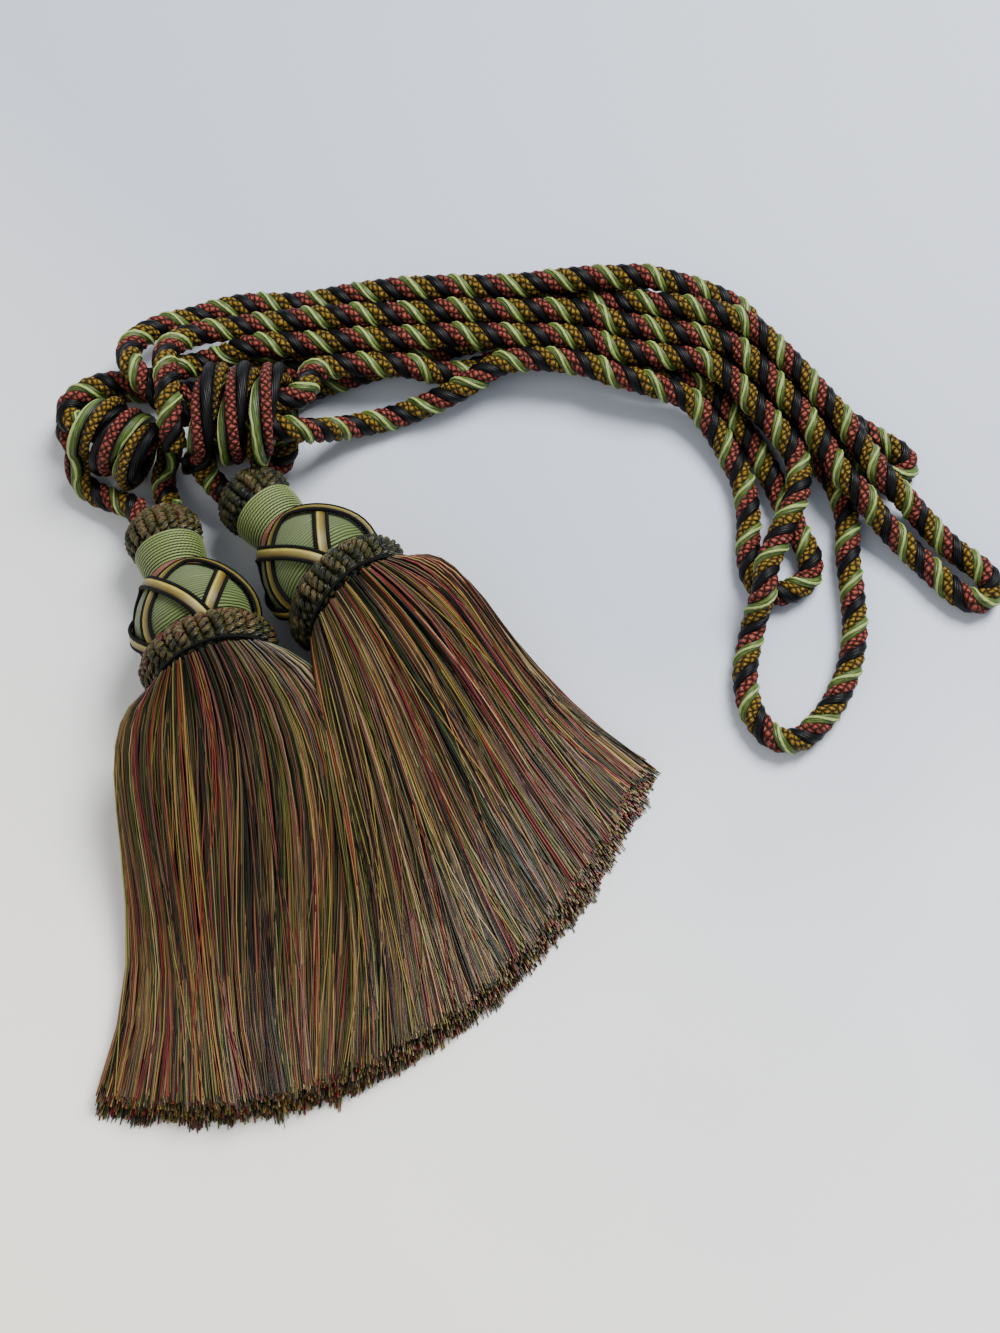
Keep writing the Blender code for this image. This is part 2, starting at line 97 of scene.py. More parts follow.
class Graph:
    """Adds nodes to a tree of either kind."""

    def __init__(self, tree):
        self.tree = tree

    def node(self, kind, values=None, settings=None):
        """One node: its settings first, then a value or a link on each named or numbered input."""
        node = self.tree.nodes.new(kind)
        for name, setting in (settings or {}).items():
            if name == "stops":
                set_stops(node.color_ramp, *setting)
            else:
                setattr(node, name, setting)
        for place, value in (values or {}).items():
            if isinstance(value, Value):
                self.tree.links.new(value.socket, node.inputs[place])
            else:
                node.inputs[place].default_value = value
        return node

    def value(self, kind, values=None, settings=None, output=0):
        return Value(self, self.node(kind, values, settings).outputs[output])

    def math(self, operation, *terms):
        return self.value("ShaderNodeMath", dict(enumerate(terms)), {"operation": operation})

    def clamped(self, value):
        return self.math("MINIMUM", 1.0, self.math("MAXIMUM", 0.0, value))

    def vector(self, operation, *terms):
        return self.value("ShaderNodeVectorMath", dict(enumerate(terms)), {"operation": operation})

    def scaled(self, vector, factor):
        return self.value("ShaderNodeVectorMath", {0: vector, 3: factor}, {"operation": "SCALE"})

    def joined(self, x, y, z=0.0):
        return self.value("ShaderNodeCombineXYZ", {0: x, 1: y, 2: z})

    def parted(self, vector):
        """The first two parts of a vector."""
        parts = self.node("ShaderNodeSeparateXYZ", {0: vector})
        return Value(self, parts.outputs[0]), Value(self, parts.outputs[1])

    def noise(self, vector, scale=1.0):
        return self.value("ShaderNodeTexNoise", {0: vector, 2: scale})

    def mix(self, factor, first, second):
        """Between two colours, each from another node or as it shows on a screen."""
        first, second = (shade(part) if isinstance(part, tuple) else part for part in (first, second))
        return self.value("ShaderNodeMix", {0: factor, 6: first, 7: second}, {"data_type": "RGBA"}, 2)

    def attribute(self, name):
        return self.value("ShaderNodeAttribute", {}, {"attribute_name": name}, 2)

    def ramp(self, factor, colours, interpolation="LINEAR"):
        return self.value("ShaderNodeValToRGB", {0: factor}, {"stops": (colours, interpolation)})


class Finish(Graph):
    """A material: a Graph of it, and the sockets of its one shader."""

    def __init__(self, name, roughness, sheen=0.0, shine=0.5):
        self.material = bpy.data.materials.new(name)
        self.material.use_nodes = True
        super().__init__(self.material.node_tree)
        self.shader = self.tree.nodes["Principled BSDF"]
        self.shader.inputs["Roughness"].default_value = roughness
        self.shader.inputs["Sheen Weight"].default_value = sheen
        self.shader.inputs["Specular IOR Level"].default_value = shine
        self.place = self.value("ShaderNodeTexCoord", output="Object")

    def drive(self, name, value):
        self.tree.links.new(value.socket, self.shader.inputs[name])

    def colour(self, factor, first, second):
        self.drive("Base Color", self.mix(factor, first, second))

    def bump(self, height, distance):
        self.drive("Normal", self.value("ShaderNodeBump", {"Height": height, "Distance": distance}))


class ThreadFinish(Finish):
    """A finish that follows the thread by its UVMap: millimetres along it, and turns round it."""

    def __init__(self, *settings):
        super().__init__(*settings)
        self.along, self.around = self.parted(self.value("ShaderNodeUVMap", {}, {"uv_map": "UVMap"}))

    def ridges(self, turns):
        """Ridges from 0 to 1, one for each turn."""
        return self.math("ABSOLUTE", self.math("SINE", turns * pi))

    def uneven(self, along, around, offset=0.0):
        """Noise stretched along and around the thread."""
        return self.noise(self.joined(self.along * along, self.around * around + offset))

    def out_of_groove_shade(self):
        """1 on the side of a strand that faces out of the cord, falling to 0 in the grooves, where
        shade is painted.
        """
        return self.clamped(self.math("COSINE", (self.around - 0.5) * tau) * 1.3 + 0.15)


def add_object(name, data):
    thing = bpy.data.objects.new(name, data)
    bpy.context.collection.objects.link(thing)
    return thing


# The floor's colour holds painted light: darker and bluer towards the top of the view, lighter in soft
# patches, and warmer towards the room light.
floor_finish = Finish("pale_floor", 0.55)
floor_x, floor_y = floor_finish.parted(floor_finish.place)
floor_bright_patches = floor_finish.noise(floor_finish.place, 6.0)
floor_painted_light = floor_finish.clamped(0.2 - floor_y * 3.0 + (floor_bright_patches - 0.5) * 0.8)
floor_painted_warm_light = floor_finish.clamped(0.3 - floor_x * 2.0 - floor_y * 2.0)
floor_painted_cool_light = floor_finish.mix(floor_painted_light, (180, 187, 200), (250, 251, 252))
floor_finish.colour(floor_painted_warm_light, floor_painted_cool_light, (252, 246, 232))
floor_finish.bump(floor_finish.noise(floor_finish.place, 900.0), 0.00002)
floor_mesh = bpy.data.meshes.new("floor")
FLOOR_HALF = 3.0
FLOOR_DROP = 0.0002
floor_mesh.from_pydata([(x * FLOOR_HALF, y * FLOOR_HALF, -FLOOR_DROP)
                        for x, y in ((-1, -1), (1, -1), (1, 1), (-1, 1))], [], [(0, 1, 2, 3)])
floor_mesh.materials.append(floor_finish.material)
floor = add_object("floor", floor_mesh)


def soft_light(name, place, size, power, colour):
    """A square light at a place, facing the tassels."""
    data = bpy.data.lights.new(name, "AREA")
    data.size = size
    data.energy = power
    data.color = colour
    lamp = add_object(name, data)
    lamp.location = place
    lamp.rotation_euler = (-Vector(place)).to_track_quat("-Z", "Y").to_euler()


soft_light("window_light", (0.9, 1.1, 1.7), 1.0, 104.0, (0.99, 0.995, 1.0))
soft_light("room_light", (-1.3, -0.9, 1.7), 2.0, 25.0, (1.0, 0.96, 0.88))

sky = bpy.data.worlds.new("room")
sky.use_nodes = True
sky.node_tree.nodes["Background"].inputs["Color"].default_value = (0.86, 0.9, 1.0, 1.0)
sky.node_tree.nodes["Background"].inputs["Strength"].default_value = 0.5
bpy.context.scene.world = sky

camera_data = bpy.data.cameras.new("camera")
camera_data.sensor_fit = "HORIZONTAL"
camera_data.sensor_width = 36.0
camera_data.lens = 60.77
camera = add_object("camera", camera_data)
camera.location = (0.0544, -0.1504, 0.6248)
camera.rotation_euler = (radians(16.0), 0.0, 0.0)
bpy.context.scene.camera = camera


# --- Rope loops ---
# Four long loops of 10 mm rope that join the knots and lie in one bundle.  The rope is laid from
# four strands: black satin, gold gimp, green with a raised bright thread, and pink gimp.

MM = 0.001
MIDDLE = Vector((-54.4, -28.8, 0.0))  # drawn point that lies at the frame's origin
ROPE = 10.0
ROPE_PITCH = 19.5
LAY_RADIUS = 2.8
STRAND_RADIUS = 2.25
BRIGHT_THREAD = 0.55
BRIGHT_SUNK = 0.15  # how deep the bright threads lie in the green strand
CURVE_PARTS = 12  # points between two points of a route
SEAM_GAP = 0.001  # points closer than this are one

# Stations along the bundle: x and y of a point on its outer edge, and the way in from it in degrees
STATIONS = [(-80, 155.5, -90), (-60, 157.2, -90), (-40, 158.4, -90), (-18, 159, -90), (3, 159.5, -90),
            (33, 163, -90), (46, 163.3, -92), (60, 163, -94), (97, 151.5, -115), (108, 139.5, -133),
            (138, 106, -150)]

# Each leg's distance in from the outer edge and its height, at each station
LANES = {
    "a_out": [
        (5, 8), (5, 12), (5, 15), (4.8, 15.4), (5, 15.4), (5, 15.4), (4.7, 15.4), (4.5, 15.4), (4, 9.5),
        (3.6, 5), (5, 5)],
    "a_back": [
        (21, 5), (15.6, 5), (10.5, 5), (4, 5), (0.5, 5), (1.5, 5), (4.2, 5), (9.8, 5), (15, 5), (14.6, 5),
        (16.3, 5)],
    "b_out": [
        (15.5, 14.6), (15.8, 15.4), (16.2, 15), (15.4, 15.6), (15.7, 14.7), (19.8, 14.7), (24.3, 14.4),
        (26.7, 14.5), (23, 14.5), (18.5, 15.2), (20.2, 15.4)],
    "b_back": [
        (32, 5), (26.5, 5), (21.6, 5), (14.8, 5), (11, 5), (12, 6.2), (13.8, 10.2), (16, 15), (12.3, 16.5),
        (7.5, 15.6), (8.8, 15.6)],
    "c_out": [
        (43.8, 5), (37.4, 5), (32.3, 5), (25.6, 5), (21.7, 5), (24.5, 5), (29, 5), (31.8, 5), (28, 5),
        (25.4, 5), (27.4, 5)],
    "c_back": [
        (26.5, 14.8), (26.5, 15.4), (26.8, 15), (26.2, 15.7), (26.7, 14.9), (31, 14.3), (35.5, 14.3),
        (37.7, 14.2), (33.6, 14.3), (29.9, 14.5), (31.8, 14.5)],
    "d_out": [
        None, None, (55.6, 5), (48.6, 10.6), (38, 14.8), (42.2, 14.2), (46.8, 14), (50, 13.6), (49.8, 9.8),
        None, (51.5, 5)],
    "d_back": [
        None, (37.6, 15.6), (38.2, 14.3), (38.6, 6), (32.4, 5), (36.2, 5), (40.7, 5), (43.6, 5), (39.4, 5),
        (35.9, 5), (40.6, 5)],
}

# Listed stretches before, beyond and after the bundle
A_START = [
    (-107.5, 93, 28.5), (-115, 93, 27.8), (-122, 94.4, 24.6), (-128, 98, 23.8), (-133.5, 103, 24.6),
    (-139, 108.5, 26.8), (-143.5, 114.5, 27), (-145.5, 121, 23), (-144.5, 129, 17.5), (-138, 137, 12.5),
    (-122.5, 143.5, 9.5), (-105, 149.5, 8)]
A_TIP = [
    (144, 96.2, 5), (151, 91.2, 5), (156.7, 87.6, 5), (160.6, 82.8, 5), (159, 77.2, 5), (153.2, 75.4, 5),
    (146.6, 79, 5), (139, 86.2, 5)]
A_END = [
    (-90.5, 131.6, 5), (-98.5, 124.8, 5), (-106, 117.4, 5), (-116, 113, 5), (-130, 112.5, 5),
    (-152.5, 114, 5), (-162.5, 113, 5), (-169, 107.5, 5), (-172, 100.5, 5), (-171, 93.5, 5), (-166, 88, 5)]
B_START = [
    (-124.3, 78.5, 27), (-125, 84, 32), (-125.6, 91, 36), (-126.5, 99, 36.4), (-128, 108, 33.4),
    (-130, 115.5, 28.5), (-130.3, 120.5, 25), (-128.5, 126, 21), (-122, 132.5, 16), (-104, 137.4, 13)]
B_TIP = [
    (125, 88, 15.4), (131.5, 75.5, 15.4), (140, 65, 15), (150, 54.5, 8.5), (161.5, 43.5, 5),
    (172.5, 32, 5), (179, 26.3, 5), (184.5, 24.6, 5), (189.2, 27.2, 5), (190.2, 32.4, 5), (186.5, 37.8, 5),
    (180, 43, 5), (173.5, 49, 5), (164, 59.5, 6.5), (157, 65.5, 11), (149.5, 71.5, 15.4),
    (142.5, 82.5, 15.4), (136, 94, 15.4)]
B_END = [
    (-88, 119.4, 5), (-95, 113, 5), (-102, 106.3, 5), (-110, 99, 5), (-116, 91.5, 5.5), (-119, 84, 7.5),
    (-121.5, 77, 11)]
C_START = [(-107, 84.6, 5), (-99.5, 93, 5), (-92.5, 100, 5), (-86, 106.3, 5)]
C_TIP = [
    (122, 85, 5), (130, 77.5, 5), (134, 68.5, 5), (136, 58.5, 5), (135.5, 41.5, 5), (136.5, 25.5, 5),
    (136, 9, 5), (131.5, -7, 5), (123.5, -20.5, 5), (113, -30, 5), (103.5, -29.5, 5), (96, -20, 5),
    (93.5, -7, 5), (96, 9, 5.5), (98.5, 19, 10), (100.5, 26, 15.6), (102, 35, 15.6), (106.5, 46, 15.6),
    (112, 57, 15.6), (115, 65, 15.2), (116.5, 73, 13.8), (115.5, 81.5, 13.6)]
C_END = [
    (-88, 128.8, 15.6), (-96, 128, 15.8), (-104, 126.8, 14.2), (-112, 125.7, 10), (-122.5, 122.5, 9.5),
    (-129, 118.5, 13.8), (-138, 113, 15.8), (-150, 112, 15.8), (-159.5, 110, 15.8), (-165.5, 106, 15.8),
    (-169.5, 100.5, 15.8), (-168, 95.4, 15.8), (-161.5, 93.3, 15.9), (-154, 89.4, 16), (-146, 85.2, 16)]
D_START = [(-98, 87.8, 28.5), (-88, 87.6, 28.5), (-79, 87, 26.5), (-70, 90, 19), (-59, 96, 9)]
D_TIP = [
    (96.5, 70, 5), (97.5, 60, 5), (97, 50, 5), (97, 39.5, 5), (99.5, 32, 5), (106.5, 28, 5),
    (114, 29.5, 5), (120, 35, 5), (120.5, 43.5, 5), (117, 51.5, 5), (113.5, 60.5, 5), (109.5, 70, 5)]
D_END = [
    (-69, 118.3, 15.8), (-74, 114.6, 18.5), (-75.2, 108.5, 22.5), (-75.8, 102, 27.3), (-83, 98.3, 28.6),
    (-92, 98, 28.5)]


def lane_points(leg):
    places = []
    for (x, y, direction), lane in zip(STATIONS, LANES[leg]):
        if lane:
            inward, height = lane
            turn = radians(direction)
            places.append((x + inward * cos(turn), y + inward * sin(turn), height))
    return places


def loop_route(start, out, tip, back, end):
    return start + lane_points(out) + tip + lane_points(back)[::-1] + end


LOOP_ROUTES = {
    "loop_1": loop_route(A_START, "a_out", A_TIP, "a_back", A_END),
    "loop_2": loop_route(B_START, "b_out", B_TIP, "b_back", B_END),
    "loop_3": loop_route(C_START, "c_out", C_TIP, "c_back", C_END),
    "loop_4": loop_route(D_START, "d_out", D_TIP, "d_back", D_END),
}


def smooth_route(route):
    """Points close together along a centripetal Catmull-Rom curve through the route."""
    route = [Vector(p) for p in route]
    ends = [route[0] * 2 - route[1]] + route + [route[-1] * 2 - route[-2]]
    fine = []
    for before, start, stop, after in zip(ends, ends[1:], ends[2:], ends[3:]):
        t1 = (start - before).length ** 0.5
        t2 = t1 + (stop - start).length ** 0.5
        t3 = t2 + (after - stop).length ** 0.5
        for part in range(CURVE_PARTS):
            t = t1 + (t2 - t1) * part / CURVE_PARTS
            a1 = before.lerp(start, t / t1)
            a2 = start.lerp(stop, (t - t1) / (t2 - t1))
            a3 = stop.lerp(after, (t - t2) / (t3 - t2))
            b1 = a1.lerp(a2, t / t2)
            b2 = a2.lerp(a3, (t - t1) / (t3 - t1))
            fine.append(b1.lerp(b2, (t - t1) / (t2 - t1)))
    fine.append(route[-1])
    for point in fine:
        point.z = max(point.z, ROPE / 2)
    return fine


class Tree(Graph):
    """A geometry tree with lines and named sizes going in, and a mesh coming out."""

    def __init__(self, name, sizes):
        tree = bpy.data.node_groups.new(name, "GeometryNodeTree")
        tree.interface.new_socket("Lines", in_out="INPUT", socket_type="NodeSocketGeometry")
        for size, kind in sizes.items():
            tree.interface.new_socket(size, in_out="INPUT", socket_type="NodeSocket" + kind)
        tree.interface.new_socket("Mesh", in_out="OUTPUT", socket_type="NodeSocketGeometry")
        super().__init__(tree)
        entry = self.node("NodeGroupInput")
        self.given = {socket.name: Value(self, socket) for socket in entry.outputs if socket.name}
        self.line = self.geometry("MeshToCurve", {0: self.given["Lines"]})

    def geometry(self, kind, values=None, settings=None, output=0):
        return self.value("GeometryNode" + kind, values, settings, output)

    def length(self):
        """Metres along a line, at each point."""
        return self.geometry("SplineParameter", output=1)

    def named(self, name, kind="FLOAT"):
        """The value that each point of the lines brings in under a name."""
        return self.geometry("InputNamedAttribute", {0: name}, {"data_type": kind})

    def keep(self, geometry, kind, value):
        """The geometry with a value kept on it, and the kept value."""
        capture = self.node("GeometryNodeCaptureAttribute", {0: geometry})
        capture.capture_items.new(kind, "Kept")
        self.tree.links.new(value.socket, capture.inputs[1])
        return Value(self, capture.outputs[0]), Value(self, capture.outputs[1])

    def ring(self, sides):
        """A round profile that starts on the inner side, and the turns round it."""
        arc = self.geometry("CurveArc", {
            "Resolution": sides + 1, "Radius": 1.0, "Start Angle": pi, "Sweep Angle": tau},
            {"mode": "RADIUS"})
        return self.keep(arc, "FLOAT", self.geometry("SplineParameter"))

    def sweep(self, line, facing, profile, around, radius, material):
        """A closed mesh of one material: the profile drawn along the line.  Its UVMap holds
        millimetres along it and turns round it."""
        line, along = self.keep(line, "FLOAT", self.length())
        if facing is not None:
            line = self.geometry("SetCurveNormal", {0: line, 2: facing}, {"mode": "FREE"})
        tip = self.geometry("CurveEndpointSelection")
        mesh = self.geometry("CurveToMesh", {0: line, 1: profile, 2: (1.0 - tip) * radius})
        mesh = self.geometry(
            "StoreNamedAttribute", {0: mesh, 2: "UVMap", 3: self.joined(along * 1000.0, around)},
            {"data_type": "FLOAT2", "domain": "CORNER"})
        mesh = self.geometry("MergeByDistance", {0: mesh, 2: SEAM_GAP * MM})
        mesh = self.geometry("SetShadeSmooth", {0: mesh, 2: True})
        return self.geometry("SetMaterial", {0: mesh, 2: material})

    def tube(self, line, radius, sides, material, facing=None):
        """A closed tube, with its seam on the side that faces inward."""
        profile, around = self.ring(sides)
        return self.sweep(line, facing, profile, around, radius, material)

    def strand(self, turn, out, step):
        """The line of one strand of a laid cord, and the direction out of the cord at each point.
        turn is the strand's place round the cord, which grows along the line."""
        stepped = self.geometry("ResampleCurve", {0: self.line, 3: step * MM}, {"mode": "LENGTH"})
        normal = self.geometry("InputNormal")
        side = self.vector("CROSS_PRODUCT", self.geometry("InputTangent"), normal)
        angle = turn * tau
        outward = self.vector("ADD", self.scaled(normal, self.math("COSINE", angle)),
                              self.scaled(side, self.math("SINE", angle)))
        stepped, outward = self.keep(stepped, "VECTOR", outward)
        return self.geometry("SetPosition", {0: stepped, 3: self.scaled(outward, out)}), outward

    def end(self, meshes):
        """Joins the meshes and sends them out of the tree."""
        join = self.node("GeometryNodeJoinGeometry")
        for mesh in reversed(meshes):
            self.tree.links.new(mesh.socket, join.inputs[0])
        whole = self.geometry("RealizeInstances", {0: Value(self, join.outputs[0])})
        self.node("NodeGroupOutput", {0: whole})


def in_frame(points):
    return [(point - MIDDLE) * MM for point in points]


def make_piece(name, lines, tree, sizes, attributes):
    """A plain mesh made by a tree from lines of points in millimetres.  attributes maps a name to
    one value for every point of every line."""
    points, edges = [], []
    for line in lines:
        edges += [(len(points) + k, len(points) + k + 1) for k in range(len(line) - 1)]
        points += in_frame(line)
    mesh = bpy.data.meshes.new(name + "_lines")
    mesh.from_pydata(points, edges, [])
    for label, values in attributes.items():
        if isinstance(values[0], Vector):
            flat = [part for value in values for part in value]
            mesh.attributes.new(label, "FLOAT_VECTOR", "POINT").data.foreach_set("vector", flat)
        else:
            mesh.attributes.new(label, "FLOAT", "POINT").data.foreach_set("value", values)
    drawn = add_object(name + "_lines", mesh)
    modifier = drawn.modifiers.new("make", "NODES")
    modifier.node_group = tree.tree
    for item in tree.tree.interface.items_tree:
        if item.in_out == "INPUT" and item.name in sizes:
            modifier[item.identifier] = sizes[item.name]
    scene_now = bpy.context.evaluated_depsgraph_get()
    finished = bpy.data.meshes.new_from_object(
        drawn.evaluated_get(scene_now), preserve_all_data_layers=True, depsgraph=scene_now)
    finished.name = name
    bpy.data.objects.remove(drawn, do_unlink=True)
    return add_object(name, finished)


def satin_finish(name, shine, dark, light, painted_glint):
    """Smooth rayon threads along the strand; glints and the shade in its grooves are painted."""
    finish = ThreadFinish(name, 0.42, 0.0, shine)
    thread = finish.ridges(finish.around * 14.0 + finish.along * 0.1)
    patchy = finish.uneven(0.35, 9.0)
    colour = finish.mix(thread * 0.75 + patchy * 0.35, dark, light)
    # Painted highlight: patches mixed towards the glint colour.
    colour = finish.mix(patchy ** 3.0 * 1.5, colour, painted_glint)
    # Painted shade: near-black in the grooves between strands.
    finish.colour(finish.out_of_groove_shade(), (5, 5, 5), colour)
    finish.bump(thread * 0.8 + patchy * 0.5, 0.0002)
    return finish.material


KNOB_ROWS = 4.0
KNOB_SPACING = 2.8


def gimp_finish(name, dark, light, painted_glint):
    """Thick chained yarn, which stands in rounded knobs all round the strand."""
    finish = ThreadFinish(name, 0.62, 0.0, 0.16)
    row = finish.around * KNOB_ROWS + finish.uneven(0.6, 4.0)
    step = finish.along / KNOB_SPACING
    knob = finish.ridges(row + step) * finish.ridges(row - step)
    thread = finish.ridges(finish.around * 22.0 - finish.along * 1.6)
    patchy = finish.uneven(0.8, 5.0, 7.0)
    # Painted shade: dark between the knobs, light on their tops.
    colour = finish.mix(knob ** 1.3 * 1.5, dark, light)
    # Painted highlight: glints on the knobs.
    colour = finish.mix(patchy ** 2.0 * thread * knob * 2.2, colour, painted_glint)
    # Painted shade: near-black in the grooves between strands.
    finish.colour(finish.out_of_groove_shade(), (8, 5, 4), colour)
    finish.bump(knob + thread * 0.08 + patchy * 0.3, 0.0014)
    return finish.material


# The last colour given to each finish is its painted glint.
black_satin = satin_finish("black_satin", 0.16, (1, 1, 1), (3, 3, 4), (13, 14, 18))
gold_gimp = gimp_finish("gold_gimp", (10, 7, 1), (106, 80, 17), (172, 138, 50))
green_satin = satin_finish("green_satin", 0.3, (20, 30, 9), (62, 80, 29), (106, 128, 58))
bright_thread = satin_finish("bright_thread", 0.5, (104, 128, 46), (172, 192, 100),
                             (222, 232, 160))
pink_gimp = gimp_finish("pink_gimp", (11, 2, 2), (112, 43, 35), (184, 100, 82))

rope_tree = Tree("laid_rope", {"Order": "Float"})
rope_turn = rope_tree.named("turn")
rope_length = rope_tree.length()
uneven = rope_tree.noise(rope_tree.joined(rope_length * 160.0, 0.0)) * 0.2 + 0.9
rope_strands = []
for strand, strand_material in enumerate((black_satin, gold_gimp, green_satin, pink_gimp)):
    strand_turn = rope_turn + rope_tree.given["Order"] * (strand / 4.0)
    strand_line, outward = rope_tree.strand(strand_turn, LAY_RADIUS * MM, 1.0)
    rope_strands.append(rope_tree.tube(
        strand_line, uneven * (STRAND_RADIUS * MM), 8, strand_material, outward))
wander = rope_tree.noise(rope_tree.joined(rope_length * 95.0, 4.0)) - 0.5
for wandering, apart in ((0.2, -0.006), (0.1, 0.006)):
    thread_turn = rope_turn + rope_tree.given["Order"] * 0.5 + wander * wandering + apart
    thread_line, outward = rope_tree.strand(
        thread_turn, (LAY_RADIUS + STRAND_RADIUS - BRIGHT_SUNK) * MM, 1.4)
    rope_strands.append(rope_tree.tube(thread_line, BRIGHT_THREAD * MM, 5, bright_thread, outward))
rope_tree.end(rope_strands)


def lay_rope(name, route, order, turn, rates):
    """Rope along a route.  turn is the lay's at the start, and rates are its turns to a millimetre
    after each point."""
    turns = [turn]
    for a, b, rate in zip(route, route[1:], rates):
        turns.append(turns[-1] + (b - a).length * rate)
    return make_piece("rope_" + name, [route], rope_tree, {"Order": order}, {"turn": turns})


# The strands follow each other one way round the rope, so their order turns over where a loop is
# drawn from its other end.
for name, order, turn in (
        ("loop_1", 1.0, 0.1), ("loop_2", 1.0, 0.45), ("loop_3", -1.0, 0.7), ("loop_4", -1.0, 0.2)):
    route = smooth_route(LOOP_ROUTES[name])
    rope = lay_rope(name, route, order, turn, [1 / ROPE_PITCH] * len(route))
    path = in_frame(route)
    length = sum((b - a).length for a, b in zip(path, path[1:]))
    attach(rope, "root")
    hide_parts(name)


# --- Knots ---
# Each tassel hangs from the same rope, wound into a barrel of turns that holds the loops.  It is
# wound against its lay, so the strands lie almost straight round the barrel.

OPEN_PITCH = -90.0
KNOT_LEADS = (4, 3)  # spans of the route before and after the barrel
BARREL_PARTS = 12  # points to a turn of the barrel
LAY_EASING = 16  # points over which the lay opens


def heading(degrees):
    return Vector((cos(radians(degrees)), sin(radians(degrees)), 0.0))


def within(value, low=0.0, high=1.0):
    return min(high, max(low, value))


def knot_route(middle, degrees, half_width, half_height, pitch, turns, lead_in, lead_out):
    """Up from the tassel, wound round from the front over the top, and down to the tassel."""
    along = heading(degrees)
    back = Vector((-along.y, along.x, 0.0))
    steps = round(turns * BARREL_PARTS)
    wound = []
    for k in range(steps + 1):
        angle = tau * turns * k / steps
        wound.append(Vector(middle) + along * (pitch * turns * (k / steps - 0.5))
                     - back * (half_width * cos(angle))
                     + Vector((0, 0, half_height * sin(angle))))
    return [Vector(p) for p in lead_in] + wound + [Vector(p) for p in lead_out]


KNOT_ROUTES = {
    "knot_1": knot_route((-146, 85, 16), -28.0, 11.0, 10.9, 11.0, 2.75, [
        (-138.2, 54, 13.4), (-141, 60, 11.5), (-148, 64.5, 7.5), (-157, 68, 6), (-165, 74.5, 7.5)],
        [(-132, 71.5, 5.3), (-129.8, 65, 8.8), (-127.6, 58.8, 13.2)]),
    "knot_2": knot_route((-98.5, 93, 28.5), 0.0, 15.8, 12.8, 11.2, 2.75, [
        (-105.8, 65.2, 13.4), (-110, 69.5, 12.8), (-113.5, 72.5, 16), (-114, 76, 22)],
        [(-84, 85, 11.2), (-87.5, 79.5, 9), (-97, 76.6, 9.6)]),
}


def knot_rates(count):
    """The lay's turns to a millimetre after each of a knot's points, opened out on the barrel."""
    rates = []
    for k in range(count):
        inside = min(k - KNOT_LEADS[0] * CURVE_PARTS, count - KNOT_LEADS[1] * CURVE_PARTS - k)
        opened = within(0.5 + inside / LAY_EASING)
        rates.append(opened / OPEN_PITCH + (1 - opened) / ROPE_PITCH)
    return rates


for name, order, turn in (("knot_1", -1.0, 0.3), ("knot_2", 1.0, 0.6)):
    route = smooth_route(KNOT_ROUTES[name])
    knot = lay_rope(name, route, order, turn, knot_rates(len(route)))
    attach(knot, "root")
    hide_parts(name)


# --- Moulds ---
# The head of each tassel: an egg of turned wood, wound round and round with fine sage thread.  It
# is held between the lower ruff and the neck.

TILT = radians(13.4)
LOWER_RUFF = 27.0
LOWER_RUFF_HALF = 6.0
RUFF_GAP = 0.3  # from the lower ruff's edge to what starts beside it
MOULD = 23.0
MOULD_WIDEST = 15.0
MOULD_END = 36.0
MOULD_DOME = 18.0  # length of the egg's round end, of which the ruff covers a part
MOULD_TAPER = 25.0  # length of its narrow end, of which the collar covers a part
MOULD_HOLLOW = 1.5


class Axis:
    """A tassel's axis: it runs from the middle of the lower ruff down to the knot end on the floor."""

    def __init__(self, x, y, degrees):
        self.out = heading(degrees)
        self.side = Vector((-self.out.y, self.out.x, 0.0))
        self.skirtward = self.out * cos(TILT) + Vector((0, 0, sin(TILT)))
        self.up = Vector((0, 0, cos(TILT))) - self.out * sin(TILT)
        height = LOWER_RUFF * cos(TILT) + LOWER_RUFF_HALF * sin(TILT) + 1.2
        self.middle = Vector((x, y, height))

    def at(self, along, radius, angle):
        spoke = self.side * cos(angle) + self.up * sin(angle)
        return self.middle - self.skirtward * along + spoke * radius


TASSELS = {"tassel_1": Axis(-107.0, -5.0, -67.2), "tassel_2": Axis(-56.5, 20.0, -47.5)}


def mould_radius(along):
    """An egg shape: widest near the lower ruff, narrow at the collar."""
    if along < MOULD_WIDEST:
        reach = (MOULD_WIDEST - along) / MOULD_DOME
        return MOULD * sqrt(1.0 - reach * reach)
    reach = (along - MOULD_WIDEST) / MOULD_TAPER
    return MOULD * sqrt(1.0 - reach * reach) - MOULD_HOLLOW * reach


def smooth_solid(name, points, faces, material):
    mesh = bpy.data.meshes.new(name)
    mesh.from_pydata(in_frame(points), [], faces)
    mesh.materials.append(material)
    mesh.shade_smooth()
    return add_object(name, mesh)


